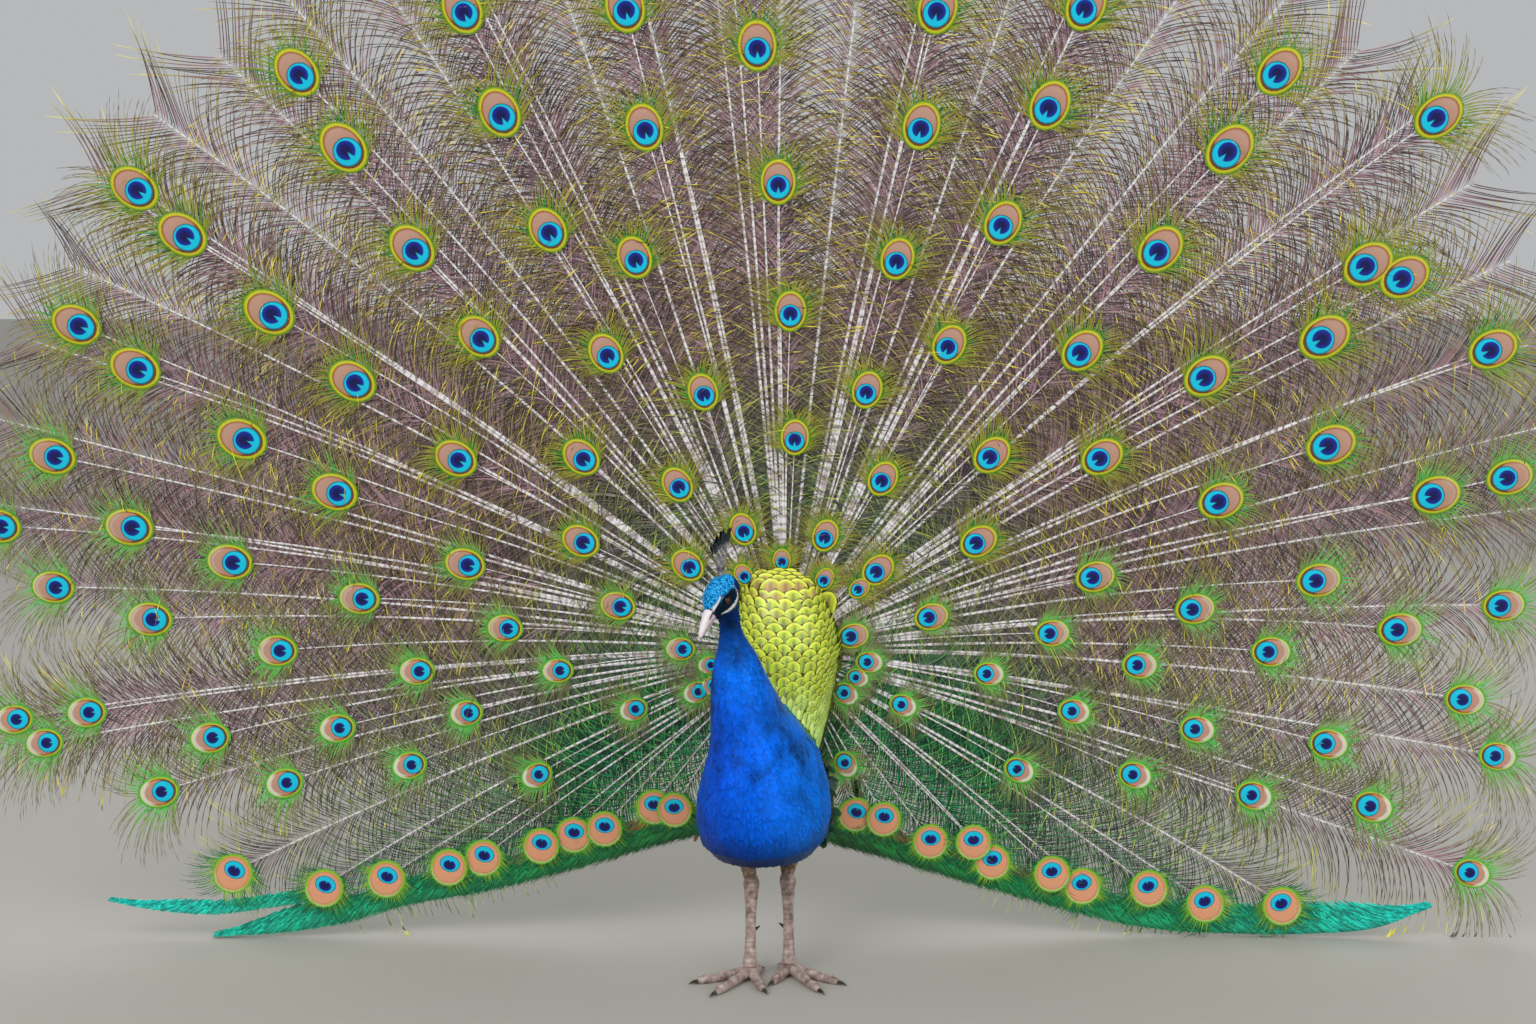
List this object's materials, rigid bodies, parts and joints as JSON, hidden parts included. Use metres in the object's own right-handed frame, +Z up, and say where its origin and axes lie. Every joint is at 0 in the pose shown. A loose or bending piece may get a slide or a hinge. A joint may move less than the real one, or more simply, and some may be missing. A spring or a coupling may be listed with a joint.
{
  "type": "peacock",
  "caption": "Life-size still model of a displaying peacock, standing on both feet with its train raised in a fan.",
  "frame": {"origin": "floor level under the middle of the whole bird's bounding box", "axes": "+Z up, the raised fan spreads along X, the bird faces -Y and its left side is at +X"},
  "size_m": [2.5284, 0.4794, 1.7483],
  "materials": {
    "skin_blue": "satin",
    "neck_blue": "satin",
    "back_gold": "satin",
    "train_vane": "matte",
    "train_teal": "satin",
    "tail_brown": "matte",
    "wing_dark": "matte",
    "wing_rufous": "matte",
    "crest_blue": "satin",
    "down_grey": "matte",
    "thigh_buff": "matte",
    "leg_grey": "matte",
    "horn": "satin",
    "claw": "satin",
    "eye": "gloss"
  },
  "bodies": {
    "root": {"trunk": "skin_blue", "neck_lower": "neck_blue", "neck_middle": "neck_blue", "neck_upper": "neck_blue", "head": "skin_blue", "crest": "crest_blue", "bill_upper": "horn", "bill_lower": "horn", "eye_left": "eye", "eye_right": "eye", "back": "back_gold", "rump": "down_grey", "undertail": "down_grey", "wing_left": "wing_dark", "primaries_left": "wing_rufous", "thigh_left": "thigh_buff", "tarsus_left": "leg_grey", "foot_left": "leg_grey", "spur_left": "claw", "claw_left_middle": "claw", "claw_left_outer": "claw", "claw_left_inner": "claw", "claw_left_hind": "claw", "wing_right": "wing_dark", "primaries_right": "wing_rufous", "thigh_right": "thigh_buff", "tarsus_right": "leg_grey", "foot_right": "leg_grey", "spur_right": "claw", "claw_right_middle": "claw", "claw_right_outer": "claw", "claw_right_inner": "claw", "claw_right_hind": "claw", "train_01": "train_vane", "train_02": "train_vane", "train_03": "train_vane", "train_04": "train_vane", "train_05": "train_vane", "train_06": "train_vane", "train_07": "train_vane", "train_08": "train_vane", "train_09": "train_vane", "train_10": "train_vane", "train_11": "train_vane", "train_12": "train_vane", "train_low_left_1": "train_teal", "train_low_left_2": "train_teal", "train_low_right_1": "train_teal", "train_low_right_2": "train_teal", "tail_left": "tail_brown", "tail_middle": "tail_brown", "tail_right": "tail_brown"}
  },
  "joints": []
}
